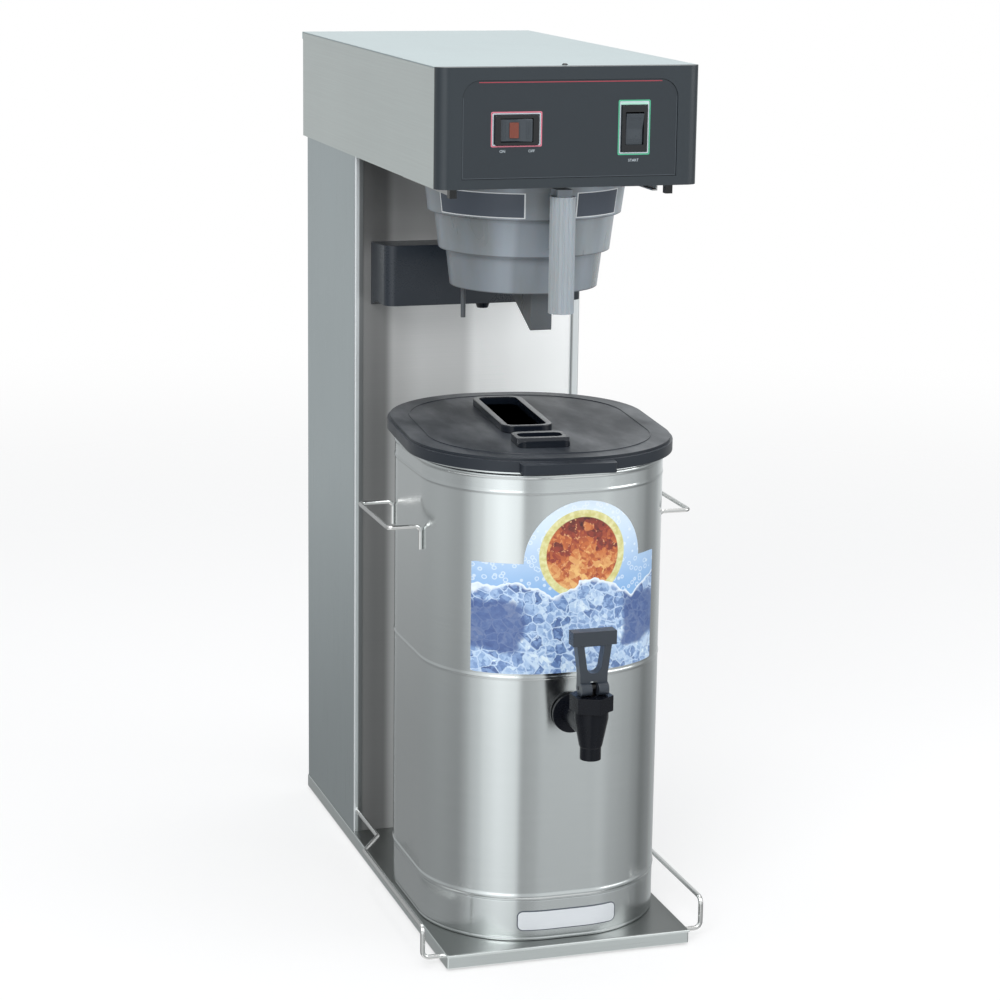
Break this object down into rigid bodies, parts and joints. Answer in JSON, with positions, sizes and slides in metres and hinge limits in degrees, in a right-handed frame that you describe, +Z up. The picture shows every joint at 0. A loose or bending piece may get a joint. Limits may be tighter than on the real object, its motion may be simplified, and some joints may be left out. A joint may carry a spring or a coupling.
{
  "type": "iced tea maker",
  "caption": "Counter-top tea brewer: hooded column over a lift-out oval dispenser with lid, wire handles and a lever tap, under a sliding brew funnel.",
  "frame": {"origin": "on the counter, under the middle of the machine's whole depth and width, at the underside of the rubber feet", "axes": "+Z up, +X to the viewer's right when facing the controls, -Y to the front where the tap is"},
  "size_m": [0.3284, 0.6716, 0.8966],
  "materials": {
    "stainless_sheet": "brushed",
    "bright_wire": "polished",
    "foot_rubber": "matte",
    "dark_screw": "satin",
    "fascia_plastic": "satin",
    "overlay_plastic": "satin",
    "switch_plastic": "semi gloss",
    "orange_lens": "translucent",
    "brew_plastic": "satin",
    "nut_plastic": "satin",
    "gloss_black": "gloss",
    "smoke_plastic": "smoke grey, semi gloss",
    "gasket_rubber": "matte",
    "heater_metal": "satin",
    "brass_fitting": "satin",
    "valve_body": "satin",
    "silicone_tube": "matte",
    "board_green": "satin",
    "matte_black": "matte",
    "printed_film": "printed",
    "cup_rubber": "matte",
    "slate_plastic": "satin"
  },
  "bodies": {
    "machine": {"base_tray": "stainless_sheet", "rubber_feet": "foot_rubber", "left_guide_wire": "bright_wire", "right_guide_wire": "bright_wire", "trunk_shell": "stainless_sheet", "splash_panel": "stainless_sheet", "hood_shell": "stainless_sheet", "hood_cover": "stainless_sheet", "cover_screws": "dark_screw", "hood_floor": "stainless_sheet", "control_fascia": "fascia_plastic", "fascia_overlay": "overlay_plastic", "power_switch": "switch_plastic", "start_switch": "switch_plastic", "funnel_rails": "stainless_sheet", "sprayhead": "brew_plastic", "sprayhead_nut": "nut_plastic", "dilution_housing": "gloss_black", "dilution_nozzle": "gloss_black", "hot_water_tank": "stainless_sheet", "tank_gasket": "gasket_rubber", "tank_lid": "stainless_sheet", "heating_element": "heater_metal", "temperature_probe": "stainless_sheet", "overheat_thermostat": "switch_plastic", "tank_shelf": "stainless_sheet", "inlet_fitting": "brass_fitting", "inlet_manifold": "brass_fitting", "brew_valve": "valve_body", "dilution_valve": "valve_body", "valve_bracket": "stainless_sheet", "fill_tube": "silicone_tube", "dilution_tube": "silicone_tube", "spray_tube": "silicone_tube", "control_board": "board_green", "board_posts": "nut_plastic", "terminal_block": "nut_plastic", "cord_gland": "matte_black"},
    "power_key": {"power_rocker": "switch_plastic", "power_lens": "orange_lens"},
    "start_key": {"start_rocker": "switch_plastic"},
    "funnel": {"brew_funnel": "smoke_plastic"},
    "dispenser": {"dispenser_skirt": "stainless_sheet", "dispenser_shell": "stainless_sheet", "tank_floor": "stainless_sheet", "left_handle": "bright_wire", "right_handle": "bright_wire", "nameplate": "stainless_sheet", "front_decal": "printed_film", "tap_body": "gloss_black", "tap_bonnet": "gloss_black", "tap_seal": "gasket_rubber", "tap_nut": "matte_black"},
    "lid": {"dispenser_lid": "slate_plastic", "lid_collar": "gloss_black", "lid_grip": "gloss_black"},
    "tap_plunger": {"tap_stem": "bright_wire", "tap_pin": "bright_wire", "tap_seat_cup": "cup_rubber"},
    "tap_lever": {"tap_handle": "gloss_black"}
  },
  "joints": [
    {"name": "power_rocker_tilt", "type": "hinge", "parent": "machine", "child": "power_key", "pos_m": [-0.055, -0.2149, 0.835], "axis": [0, 0, 1], "range_deg": [0, 16]},
    {"name": "start_rocker_press", "type": "hinge", "parent": "machine", "child": "start_key", "pos_m": [0.065, -0.2149, 0.835], "axis": [1, 0, 0], "range_deg": [0, 16], "stiffness_Nm_per_rad": 0.05, "springref_deg": -8.59},
    {"name": "funnel_slide", "type": "slide", "parent": "machine", "child": "funnel", "axis": [0, -1, 0], "range_m": [0, 0.18]},
    {"name": "dispenser_slide", "type": "slide", "parent": "machine", "child": "dispenser", "axis": [0, -1, 0], "range_m": [0, 0.16]},
    {"name": "lid_lift", "type": "slide", "parent": "dispenser", "child": "lid", "axis": [0, 0, 1], "range_m": [0, 0.08]},
    {"name": "tap_plunger_lift", "type": "slide", "parent": "dispenser", "child": "tap_plunger", "axis": [0, 0, 1], "range_m": [0, 0.004], "stiffness_N_per_m": 3000, "springref_m": -0.005},
    {"name": "tap_lever_tilt", "type": "hinge", "parent": "tap_plunger", "child": "tap_lever", "pos_m": [0, -0.3142, 0.302], "axis": [1, 0, 0], "range_deg": [0, 45]}
  ],
  "couplings": [
    {"joint": "tap_lever_tilt", "follows": "tap_plunger_lift", "rad_per_m": 196.3}
  ]
}
